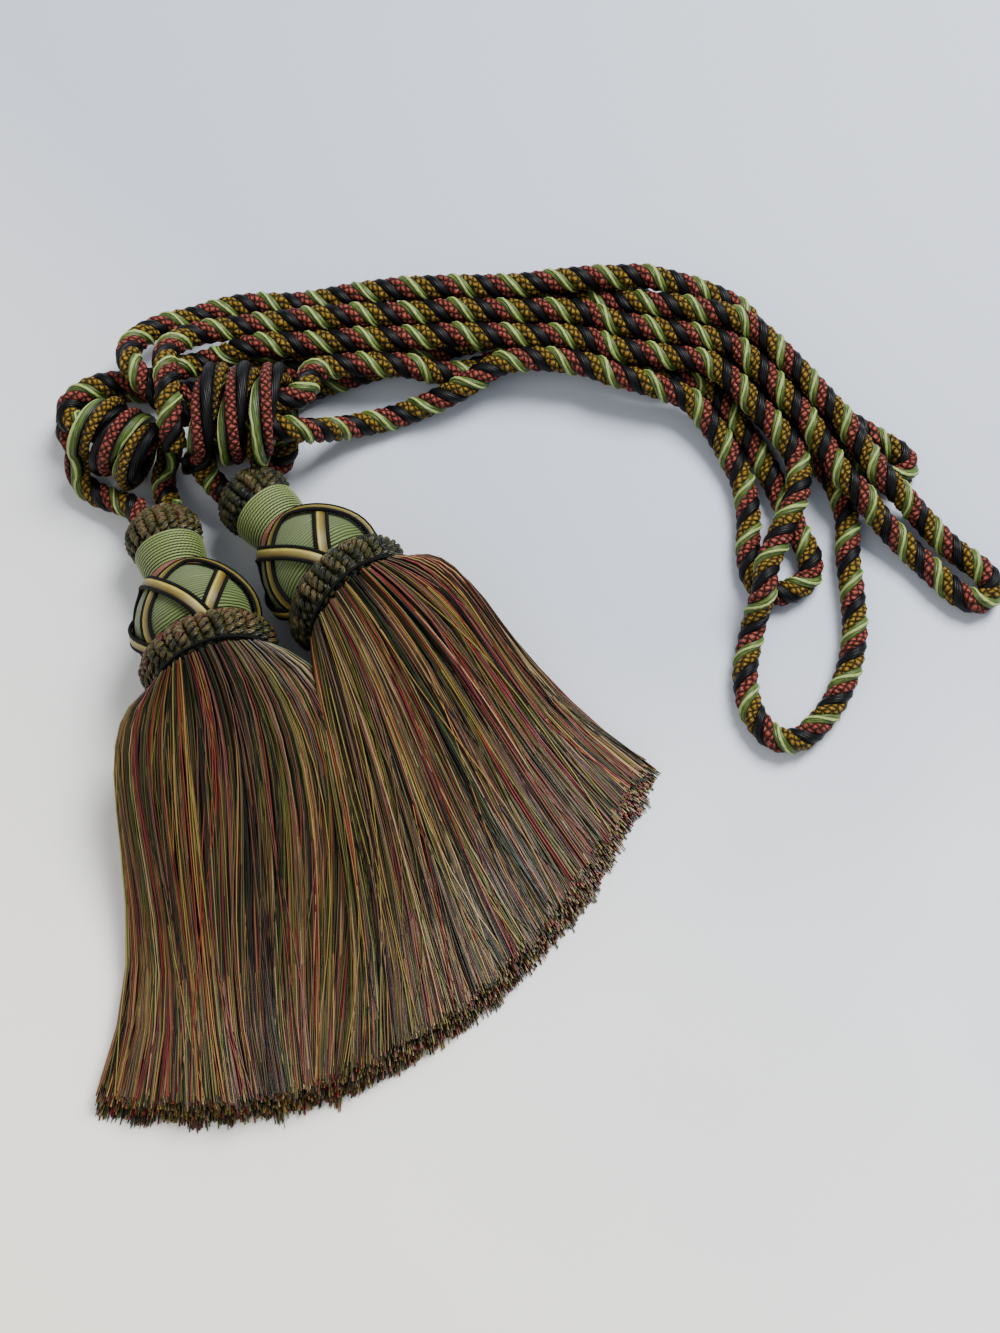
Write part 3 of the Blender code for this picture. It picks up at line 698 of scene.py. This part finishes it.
def turned(name, axis, profile, columns, material):
    """A closed solid turned about the axis, through (along, radius) rows.  Its UVMap holds the
    millimetres along its outline and the turns round it."""
    points = [axis.at(profile[0][0], 0.0, 0.0)]
    reach, outline = 0.0, [0.0]
    for (a1, r1), (a2, r2) in zip(profile, profile[1:]):
        reach += hypot(a2 - a1, r2 - r1)
        outline.append(reach)
    for along, radius in profile:
        points += [axis.at(along, radius, tau * k / columns) for k in range(columns)]
    points.append(axis.at(profile[-1][0], 0.0, 0.0))
    faces, places = [], []
    for k in range(columns):
        beside = (k + 1) % columns
        left, right = k / columns, (k + 1) / columns
        faces.append((0, 1 + beside, 1 + k))
        places += [(0.0, left), (0.0, right), (0.0, left)]
        for row in range(len(profile) - 1):
            low, high = 1 + row * columns, 1 + (row + 1) * columns
            faces.append((low + k, low + beside, high + beside, high + k))
            places += [(outline[row], left), (outline[row], right),
                       (outline[row + 1], right), (outline[row + 1], left)]
        last = 1 + (len(profile) - 1) * columns
        faces.append((last + k, last + beside, len(points) - 1))
        places += [(reach, left), (reach, right), (reach, left)]
    solid = smooth_solid(name, points, faces, material)
    uv_map = solid.data.uv_layers.new(name="UVMap")
    uv_map.data.foreach_set("uv", [part for place in places for part in place])
    return solid


wound_sage = ThreadFinish("wound_sage", 0.5, 0.1, 0.35)
sage_thread = wound_sage.ridges(
    wound_sage.along / 1.1 + wound_sage.around * 3.0 + wound_sage.uneven(0.15, 9.0) * 2.0)
sage_tone = wound_sage.uneven(2.4, 7.0)
wound_sage.colour(sage_thread ** 0.7 * 0.8 + sage_tone * 0.3, (17, 22, 7), (94, 110, 54))
wound_sage.bump(sage_thread ** 0.6, 0.0008)

MOULD_ROWS = 13
mould_start = LOWER_RUFF_HALF + RUFF_GAP
mould_places = [mould_start + (MOULD_END - mould_start) * row / MOULD_ROWS for row in range(MOULD_ROWS + 1)]
for name, axis in TASSELS.items():
    mould = turned(name + "_wound_mould", axis, [(along, mould_radius(along)) for along in mould_places],
                   40, wound_sage.material)
    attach(mould, "root")
    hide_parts(name + "_mould")


# --- Ribbons ---
# Five cream-gold satin ribbons edged with black cord.  Each rises from under the ruff, bends over
# below the neck and comes down again, over the next ribbon on one side and under it on the other.

RIBBONS = 5
RIBBON_REACH = radians(64.0)  # round the mould to each side of its highest place
RIBBON_RUFF_END = 3.5  # from the ruff's edge to where a ribbon comes out
RIBBON_NECK_END = 3.0  # from the mould's end to where it turns back
RIBBON_UNDER, RIBBON_OVER = 0.65, 1.8
RIBBON_SWAP = radians(20.0)
RIBBON_STEPS = 40
RIBBON_TUCK = 1.17  # how far the ends reach in under the ruff, against their visible length
BAND_HALF = 1.8
BAND_CROWN = 0.5
EDGE_CORD = 0.72
FIRST_RIBBON = {"tassel_1": radians(75.0), "tassel_2": radians(92.0)}

gold_ribbon = ThreadFinish("gold_ribbon", 0.42, 0.0, 0.4)
weft = gold_ribbon.ridges(gold_ribbon.around * 40.0)
band_tone = gold_ribbon.uneven(0.3, 12.0)
# Painted light across each ribbon: painted shade along one edge, a painted highlight near the other.
band_painted_light_side = gold_ribbon.math("SINE", gold_ribbon.around * -tau)
band_shade_and_highlight = gold_ribbon.ramp(band_painted_light_side * 0.5 + 0.5 + (band_tone - 0.5) * 0.25, (
    (58, 48, 14), (80, 68, 22), (102, 90, 32), (122, 110, 44),
    (172, 160, 78), (90, 78, 28)))
gold_ribbon.colour(weft * 0.2, band_shade_and_highlight, (96, 72, 34))
gold_ribbon.bump(weft * 0.5 + band_tone * 0.4, 0.00008)

black_cord = ThreadFinish("black_cord", 0.7, 0.0, 0.15)
cord_ply = black_cord.ridges(black_cord.around * 2.0 + black_cord.along / 0.9)
black_cord.colour(cord_ply, (1, 1, 1), (9, 8, 8))
black_cord.bump(cord_ply, 0.0003)

band_tree = Tree("edged_ribbon", {"Half width": "Float", "Crown": "Float", "Cord radius": "Float"})
facing = band_tree.named("facing", "FLOAT_VECTOR")
across = band_tree.vector("CROSS_PRODUCT", band_tree.geometry("InputTangent"), facing)
band_half, cord_radius = band_tree.given["Half width"], band_tree.given["Cord radius"]
band_parts = []
for edge in (-1.0, 1.0):
    beside = band_tree.scaled(across, (band_half + cord_radius * 0.7) * edge)
    beside = band_tree.vector("ADD", beside, band_tree.scaled(facing, cord_radius * -0.1))
    edge_line = band_tree.geometry("SetPosition", {0: band_tree.line, 3: beside})
    band_parts.append(band_tree.tube(edge_line, cord_radius, 6, black_cord.material))
band_ring, band_turn = band_tree.ring(12)
band_ring = band_tree.geometry("Transform", {
    0: band_ring, "Scale": band_tree.joined(band_tree.given["Crown"], band_half, 1.0)})
band_parts.append(band_tree.sweep(band_tree.line, facing, band_ring, band_turn, 1.0, gold_ribbon.material))
band_tree.end(band_parts)


def ribbon_line(axis, top):
    """Points along the middle of a ribbon, and the way it faces at each."""
    first, last = LOWER_RUFF_HALF + RIBBON_RUFF_END, MOULD_END - RIBBON_NECK_END
    line, facings = [], []
    small = 0.01
    for k in range(RIBBON_STEPS + 1):
        share = RIBBON_TUCK * (2 * k / RIBBON_STEPS - 1)
        place = first + (last - first) * cos(pi / 2 * share)
        angle = top + RIBBON_REACH * share
        here = axis.at(place, mould_radius(place), angle)
        further = axis.at(place - small, mould_radius(place - small), angle) - here
        beside = axis.at(place, mould_radius(place), angle + small) - here
        face = further.cross(beside).normalized()
        if face.dot(here - axis.at(place, 0.0, 0.0)) < 0:
            face.negate()
        rise = within(0.5 - RIBBON_REACH * share / (2 * RIBBON_SWAP))
        lift = RIBBON_UNDER + (RIBBON_OVER - RIBBON_UNDER) * rise * rise * (3 - 2 * rise)
        line.append(here + face * lift)
        facings.append(face)
    return line, facings


for name, axis in TASSELS.items():
    for k in range(RIBBONS):
        line, facings = ribbon_line(axis, FIRST_RIBBON[name] + tau * k / RIBBONS)
        ribbon = make_piece(f"{name}_edged_ribbon_{k + 1}", [line], band_tree,
                            {"Half width": BAND_HALF * MM, "Crown": BAND_CROWN * MM,
                             "Cord radius": EDGE_CORD * MM}, {"facing": facings})
        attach(ribbon, "root")
        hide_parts(f"{name}_ribbon_{k + 1}")


# --- Neck rings ---
# Three and a half turns of copper-coloured thread, wound in the narrow neck between mould and
# collar.

copper = ThreadFinish("copper_thread", 0.42, 0.2)
copper_ply = copper.ridges(copper.around * 2.0 + copper.along / 0.9)
copper_tone = copper.noise(copper.place, 420.0)
copper.colour(copper_ply * 0.6 + copper_tone * 0.4, (36, 12, 5), (150, 74, 38))
copper.bump(copper_ply, 0.0003)

thread_tree = Tree("wound_thread", {"Thread radius": "Float", "Thread": "Material"})
thread_tree.end([thread_tree.tube(
    thread_tree.line, thread_tree.given["Thread radius"], 6, thread_tree.given["Thread"],
    thread_tree.named("facing", "FLOAT_VECTOR"))])

THREAD_PARTS = 36  # points to a turn of wound thread


def wound_thread(name, axis, start, stop, radius_at, turns, thickness, material):
    """A thread wound round the axis; radius_at gives its radius at each share of its way."""
    count = round(turns * THREAD_PARTS)
    line, facings = [], []
    for k in range(count + 1):
        share = k / count
        along, angle = start + (stop - start) * share, tau * turns * share
        line.append(axis.at(along, radius_at(share), angle))
        facings.append((line[-1] - axis.at(along, 0.0, 0.0)).normalized())
    return make_piece(name, [line], thread_tree, {"Thread radius": thickness * MM, "Thread": material},
                      {"facing": facings})


for name, axis in TASSELS.items():
    ring = wound_thread(name + "_copper_turns", axis, start=36.4, stop=38.3, radius_at=lambda share: 11.1,
                        turns=3.5, thickness=0.5, material=copper.material)
    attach(ring, "root")
    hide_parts(name + "_neck_ring")


# --- Collars ---
# Eleven turns of round sage cord, wound side by side over a dark core between the neck and the
# upper ruff.  They are wider towards the ruff.

sage_cord = ThreadFinish("sage_cord", 0.45, 0.1)
collar_ply = sage_cord.ridges(sage_cord.around * 2.0 + sage_cord.along / 1.6)
collar_tone = sage_cord.uneven(0.12, 3.0)
collar_lit = sage_cord.mix(collar_ply * 0.5 + collar_tone * 0.6, (52, 62, 22), (122, 138, 70))
# Painted shade: the lit colour falls to near-black in the grooves between the turns.
sage_cord.colour(sage_cord.out_of_groove_shade() ** 2.0, (12, 16, 4), collar_lit)
sage_cord.bump(collar_ply + collar_tone * 0.3, 0.00015)

dark_core = Finish("dark_core", 0.8)
dark_core.colour(dark_core.noise(dark_core.place, 500.0), (14, 13, 10), (40, 36, 24))
dark_core.bump(dark_core.noise(dark_core.place, 900.0), 0.0004)

COLLAR = 13.5
COLLAR_TAPER = 2.0
COLLAR_TURNS = 11
COLLAR_CORD = 0.5


def collar_radius(share):
    return COLLAR - COLLAR_TAPER * (1 - share) ** 2 - COLLAR_CORD


for name, axis in TASSELS.items():
    collar = wound_thread(name + "_wound_collar", axis, start=39.1, stop=51.7, radius_at=collar_radius,
                          turns=COLLAR_TURNS, thickness=COLLAR_CORD, material=sage_cord.material)
    core = turned(name + "_neck_core", axis,
                  [(35.5, 9.0), (38.0, 10.4), (39.0, 10.7), (42.0, 11.7), (45.3, 12.4), (51.8, 12.8),
                   (53.0, 11.0)], 32, dark_core.material)
    for piece in (collar, core):
        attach(piece, "root")
    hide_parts(name + "_collar")


# --- Ruffs ---
# Rows of loops of thick two-ply cord, stitched side by side round a dark core: a wide ruff where
# the skirt starts, and a narrow one that closes the knot end.

LOOP_PARTS = 4  # points between two points of a loop's outline

ruff_cord = ThreadFinish("ruff_cord", 0.4, 0.0, 0.5)
ruff_thread = ruff_cord.ridges(ruff_cord.around * 9.0 - ruff_cord.along * 0.5)
ruff_tone = ruff_cord.noise(ruff_cord.place, 260.0)
ruff_colour = ruff_cord.ramp(ruff_cord.attribute("yarn") + (ruff_tone - 0.5) * 1.1, (
    (12, 15, 5), (46, 50, 18), (84, 78, 30), (120, 102, 60), (100, 56, 34),
    (96, 38, 32), (36, 18, 18)))
ruff_lit = ruff_cord.mix(ruff_thread * 0.9 + 0.1, (10, 7, 4), ruff_colour)
# Painted shade: the lit colour falls to near-black in the grooves between the plies.
ruff_cord.colour(ruff_cord.out_of_groove_shade() ** 1.9, (4, 3, 2), ruff_lit)
ruff_cord.bump(ruff_thread, 0.0006)

ruff_tree = Tree("twisted_cord", {"Pitch": "Float", "Lay radius": "Float", "Ply radius": "Float"})
ruff_turn = ruff_tree.length() / ruff_tree.given["Pitch"] + ruff_tree.named("start_turn")
ruff_plies = []
for ply_turn in (0.0, 0.5):
    ply_line, outward = ruff_tree.strand(ruff_turn + ply_turn, ruff_tree.given["Lay radius"], 0.5)
    ruff_plies.append(ruff_tree.tube(
        ply_line, ruff_tree.given["Ply radius"], 6, ruff_cord.material, outward))
ruff_tree.end(ruff_plies)


def ruff_lines(axis, profile, count, seed, front, back):
    """Loops of cord over a ruff, and where each point's colour falls from front to back."""
    pick = random.Random(seed)
    lines, starts, yarns = [], [], []
    for k in range(count):
        angle = tau * (k + 0.5 + pick.uniform(-0.12, 0.12)) / count
        start_turn = pick.uniform(-0.08, 0.08) + 0.5 * (k % 2)
        tone = pick.uniform(-0.16, 0.16)
        swell = pick.uniform(-0.3, 0.3)
        path = []
        for a, b in zip(profile, profile[1:]):
            path += [(a[0] + (b[0] - a[0]) * part / LOOP_PARTS, a[1] + (b[1] - a[1]) * part / LOOP_PARTS)
                     for part in range(LOOP_PARTS)]
        path.append(profile[-1])
        line = []
        for n, (along, radius) in enumerate(path):
            share = n / (len(path) - 1)
            line.append(axis.at(along, radius + swell * sin(pi * share), angle + 0.05 * share))
            starts.append(start_turn)
            yarns.append(front + (back - front) * share + tone)
        lines.append(line)
    return lines, {"start_turn": starts, "yarn": yarns}


# Each ruff: loops, pitch, lay radius, ply radius, then the outlines of a loop and of the core as
# places along the axis and radii
RUFFS = {
    "lower": (34, 4.0, 1.4, 1.05,
              [(-5.2, 17.5), (-5.0, 20.5), (-4.0, 22.8), (-1.8, 24.2), (0.8, 24.0), (3.0, 22.4),
               (4.6, 20.4), (5.2, 18.5)],
              [(-6.2, 20.5), (-5.6, 22.0), (-3.5, 23.0), (0.0, 23.0), (3.5, 21.0), (6.2, 18.0)]),
    "upper": (20, 3.8, 1.3, 1.0,
              [(53.6, 9.0), (53.4, 11.2), (54.6, 12.6), (57.0, 12.9), (60.0, 12.8), (62.6, 11.6),
               (64.6, 9.4), (65.6, 6.5), (65.8, 3.2)],
              [(52.6, 10.5), (54.0, 12.0), (60.0, 12.2), (63.5, 9.5), (65.4, 5.0)]),
}

for name, end, seed, front, back, columns in (
        ("tassel_1", "lower", 11, 0.15, 0.72, 40), ("tassel_1", "upper", 31, 0.3, 0.6, 32),
        ("tassel_2", "lower", 12, 0.15, 0.42, 40), ("tassel_2", "upper", 32, 0.2, 0.35, 32)):
    loops, pitch, lay, ply, loop_outline, core_outline = RUFFS[end]
    lines, attributes = ruff_lines(TASSELS[name], loop_outline, loops, seed, front, back)
    ruff = make_piece(f"{name}_{end}_loops", lines, ruff_tree,
                      {"Pitch": pitch * MM, "Lay radius": lay * MM, "Ply radius": ply * MM}, attributes)
    core = turned(f"{name}_{end}_core", TASSELS[name], core_outline, columns, dark_core.material)
    for piece in (ruff, core):
        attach(piece, "root")
    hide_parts(f"{name}_{end}_ruff")


# --- Skirts ---
# Thousands of fine rayon threads, sewn in under the lower ruff, spread in a fan and cut off a
# little unevenly.  They lie in small bunches that share part of their dye, over a dark mass that
# stands for more of them in painted shade.

SKIRT_ROOT = 23.5
SKIRT_BACKING = 3.5
ROOT_NARROWING = 0.88
SKIRT_SWELL = 30.0
FAN_POWER = 1.5
REACH_POWER = 1.6
LEVEL_FROM = 0.75
CUT_BEVEL = 8.0
FLOOR_SINK = 0.08 / 3  # how far under the floor the lowest threads are aimed, as a share of the height


def between(ends, share):
    return ends[0] + (ends[1] - ends[0]) * share


@dataclass
class SkirtShape:
    """Where a point of the skirt lies: across runs from its left edge (0) to its right edge (1),
    layer from the floor side (0) to the top (1), and down from the root (0) to the cut end (1)."""

    axis: Axis
    flow: float  # under 1, the threads crowd towards the right edge
    leave: tuple  # headings at the root: left, middle and right
    swell: tuple  # how strongly they are kept, left and right
    arrive: tuple  # headings at the cut end
    settle: tuple
    end_angles: tuple
    end_reach: tuple
    end_height: float
    edge_heights: tuple

    def root(self, across, layer):
        x = 2 * across - 1
        half = SKIRT_ROOT * sqrt(max(0.0, 1 - ROOT_NARROWING * x * x))
        middle = self.axis.at(-(LOWER_RUFF_HALF + RUFF_GAP + SKIRT_BACKING), 0.0, 0.0)
        return middle + self.axis.side * (SKIRT_ROOT * x) + self.axis.up * (half * (2 * layer - 1))

    def fanned(self, angles, across):
        """An angle between left, middle and right, which turns fastest at the skirt's two edges."""
        left, middle, right = angles
        x = 2 * across - 1
        return middle + (right - middle if x > 0 else left - middle) * abs(x) ** FAN_POWER

    def at(self, across, layer, down, longer=0.0):
        inside = within(across)
        root = self.root(across, layer)
        toward = inside ** self.flow
        reach = between(self.end_reach[::-1], (1 - toward) ** REACH_POWER)
        reach += longer - CUT_BEVEL * layer
        end = self.axis.middle + heading(between(self.end_angles, toward + across - inside)) * reach
        out = root + heading(self.fanned(self.leave, across)) * between(self.swell, across)
        back = end - heading(self.fanned(self.arrive, across)) * between(self.settle, across)
        left = 1 - down
        place = (root * left ** 3 + out * (3 * left * left * down) + back * (3 * left * down * down)
                 + end * down ** 3)
        settled = min(down / LEVEL_FROM, 1.0)
        edge = between(self.edge_heights, inside)
        height = self.end_height * (edge + (1 - edge) * sin(pi * inside))
        place.z = (root.z * (1 - settled) ** 2 + 2 * settled * (1 - settled) * SKIRT_SWELL * layer
                   + height * (layer - FLOOR_SINK) * settled ** 2)
        return place


SKIRTS = {
    "tassel_1": SkirtShape(TASSELS["tassel_1"], flow=0.68, leave=(-165, -64, -16), swell=(34, 50),
                           arrive=(-107, -74, -99), settle=(72, 62), end_angles=(-102.4, -69.8),
                           end_reach=(166, 164), end_height=15.0, edge_heights=(0.6, 1.0)),
    "tassel_2": SkirtShape(TASSELS["tassel_2"], flow=1.0, leave=(-86, -47, 26), swell=(46, 28),
                           arrive=(-95, -59, -36), settle=(60, 70), end_angles=(-88.8, -29.2),
                           end_reach=(180, 132), end_height=16.0, edge_heights=(1.0, 0.6)),
}

SKIRT_DYES = (
    (112, 18, 30), (124, 50, 34), (150, 112, 56), (78, 80, 28), (126, 118, 48),
    (24, 40, 20), (14, 10, 9), (96, 72, 52), (114, 66, 62), (164, 140, 96))
DYE_SHARES = (8, 8, 13, 18, 11, 12, 13, 16, 7, 5)

skirt_yarn = Finish("skirt_yarn", 0.4, 0.0, 0.35)
yarn_tone = skirt_yarn.noise(skirt_yarn.place, 120.0)
yarn_colour = skirt_yarn.ramp(skirt_yarn.attribute("yarn"), SKIRT_DYES, "CONSTANT")
# Painted shade: each thread darkens towards near-black by its depth, which also varies at random.
skirt_yarn.colour(skirt_yarn.attribute("depth") * 0.85 + yarn_tone * 0.15, yarn_colour, (12, 9, 6))
skirt_yarn.bump(skirt_yarn.noise(skirt_yarn.place, 1600.0), 0.0001)

yarn_tree = Tree("cut_threads", {"Thread radius": "Float"})
yarn_ring = yarn_tree.geometry("CurvePrimitiveCircle", {"Resolution": 3, "Radius": 1.0})
yarn_radius = yarn_tree.given["Thread radius"] * yarn_tree.named("size")
yarn_mesh = yarn_tree.geometry("CurveToMesh", {0: yarn_tree.line, 1: yarn_ring, 2: yarn_radius, 3: True})
yarn_mesh = yarn_tree.geometry("SetShadeSmooth", {0: yarn_mesh, 2: True})
yarn_tree.end([yarn_tree.geometry("SetMaterial", {0: yarn_mesh, 2: skirt_yarn.material})])

DYES = range(len(SKIRT_DYES))
THREAD_RADIUS = 0.23
THREAD_SPANS = 11
BUNCH_THREADS = 18
SWAY = 0.016  # as a share of the skirt's width
LOOSE_SHARE = 0.05
STRAY_FROM = 0.997
LOWEST = 0.4  # height of the lowest threads' middle lines


def any_dye(pick):
    return (pick.choices(DYES, DYE_SHARES)[0] + 0.5) / len(SKIRT_DYES)


class Threads:
    """Lines of points for the skirt's threads, with each one's dye, depth of painted shade and
    size.
    """

    def __init__(self):
        self.lines = []
        self.attributes = {"yarn": [], "depth": [], "size": []}

    def add(self, places, dye, depths, size):
        self.lines.append(places)
        self.attributes["yarn"] += [dye] * len(places)
        self.attributes["depth"] += [within(depth) for depth in depths]
        self.attributes["size"] += [size] * len(places)

    def make(self, name):
        return make_piece(name, self.lines, yarn_tree, {"Thread radius": THREAD_RADIUS * MM},
                          self.attributes)


def long_threads(shape, bunches, seed):
    """Whole threads, most of them in bunches that lie rounded and a little crossed on the top."""
    pick = random.Random(seed)
    threads = Threads()
    for b in range(bunches):
        kind = "top" if b % 7 else pick.choice(("low", "under"))
        layer = {"top": pick.uniform(0.93, 1.0), "low": pick.uniform(0.25, 0.8), "under": 0.02}[kind]
        middle = (b + pick.random()) / bunches
        if kind == "low":
            middle = pick.choice((0.004, 0.996))
        half_width = pick.uniform(0.5, 1.5) / bunches * (2.4 if kind == "under" else 1.1)
        bunch_dye = any_dye(pick)
        lean, phase = pick.gauss(0, 1.0), pick.uniform(0, tau)
        gather, relief = pick.uniform(0.1, 0.6), pick.uniform(0.5, 1.5)
        longer, lift, dim = pick.gauss(0, 1.2), pick.uniform(-0.9, 0.6), pick.uniform(0.0, 0.4)
        for _ in range(round(BUNCH_THREADS * half_width * bunches)):
            q = pick.uniform(-1, 1)
            dye = bunch_dye if pick.random() < 0.3 else any_dye(pick)
            own_lean, own_phase = pick.gauss(0, 0.8), pick.uniform(0, tau)
            weave_rate, weave_phase = pick.uniform(4.0, 9.0), pick.uniform(0, tau)
            own_lift = lift + pick.uniform(-0.15, 0.15)
            own_longer = longer + pick.gauss(0, 1.0)
            # Darkened at random for each bunch and thread, with painted shade at a bunch's edges.
            own_dim = dim + pick.uniform(0.0, 0.5) + 0.35 * abs(q) ** 3
            loose = pick.random()
            if loose < LOOSE_SHARE:  # it crosses over the others
                own_lean *= 4.5
                own_lift = 1.1
                own_dim = 0.0
            if loose > STRAY_FROM and kind == "top":  # it reaches past the cut
                own_longer += pick.uniform(1.0, 4.0)
            places, depths = [], []
            for n in range(THREAD_SPANS + 1):
                down = (n / THREAD_SPANS) ** 1.3
                spread = 1 - gather * sin(pi * min(1.0, 0.15 + 0.75 * down))
                across = middle + q * half_width * spread
                across += lean * (sin(2.8 * down + phase) - sin(phase)) * SWAY
                across += own_lean * SWAY * down * sin(3.5 * down + own_phase)
                place = shape.at(within(across, -0.02, 1.02), layer, down, own_longer * down)
                weave = sin(weave_rate * down + weave_phase)
                rounding = relief * (sqrt(1 - q * q) - 1) * min(1.0, 0.4 + 1.5 * down)
                place.z += (rounding + own_lift + 0.3 * weave) * (1 - 0.4 * down)
                place.z = max(place.z, LOWEST)
                places.append(place)
                # Painted shade where the thread weaves low, and near the root under the ruff.
                depths.append(own_dim - 0.15 * weave + 0.35 * (1 - down) ** 10)
            threads.add(places, dye, depths, pick.uniform(0.8, 1.25))
    return threads


def short_threads(shape, count, seed):
    """The threads beneath, which show only where they are cut, so only their ends are made."""
    pick = random.Random(seed)
    threads = Threads()
    for k in range(count):
        across = (k + pick.random()) / count
        layer = pick.uniform(0.02, 0.97)
        drift = pick.gauss(0, 0.006)
        longer = pick.gauss(0, 1.1)
        places = []
        for down in (0.82, 0.91, 1.0):
            drifted = within(across + drift * (down - 0.82) * 5, -0.01, 1.01)
            place = shape.at(drifted, layer, down, longer)
            place.z = max(place.z - 16 * (1.0 - down), LOWEST)  # their upper ends lie hidden
            places.append(place)
        # Painted shade darkest at the hidden upper end and least at the cut tip; dim varies at random.
        dim = pick.uniform(-0.1, 0.35)
        threads.add(places, any_dye(pick), [dim + 0.4, dim, dim - 0.2], pick.uniform(1.3, 1.9))
    return threads


def skirt_shade_core(name, shape, material):
    """The dark mass under the threads: a closed sleeve inside the skirt, which paints the shade
    among more threads.
    """
    rows, columns = 12, 24
    points, faces = [], []
    ring = [(u / columns, 0.86) for u in range(columns + 1)]
    ring += [(u / columns, 0.14) for u in range(columns, -1, -1)]
    for row in range(rows + 1):
        down = 0.93 * row / rows
        points += [shape.at(0.02 + 0.96 * u, w, down) for u, w in ring]
    count = len(ring)
    for row in range(rows):
        for k in range(count):
            after = (k + 1) % count
            low, high = row * count, (row + 1) * count
            faces.append((low + k, low + after, high + after, high + k))
    faces.append(tuple(range(count - 1, -1, -1)))
    faces.append(tuple(range(rows * count, (rows + 1) * count)))
    return smooth_solid(name, points, faces, material)


for name, bunches, short_count, seed in (("tassel_1", 122, 2300, 71), ("tassel_2", 130, 3400, 72)):
    shape = SKIRTS[name]
    skirt = long_threads(shape, bunches, seed).make(name + "_threads")
    cut_ends = short_threads(shape, short_count, seed + 10).make(name + "_cut_ends")
    core = skirt_shade_core(name + "_skirt_shade_core", shape, dark_core.material)
    binding = wound_thread(name + "_binding", shape.axis, start=-6.4, stop=-7.0,
                           radius_at=lambda share: 22.2, turns=1.2, thickness=0.55,
                           material=black_cord.material)
    for piece in (skirt, cut_ends, core, binding):
        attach(piece, "root")
    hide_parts(name + "_skirt")
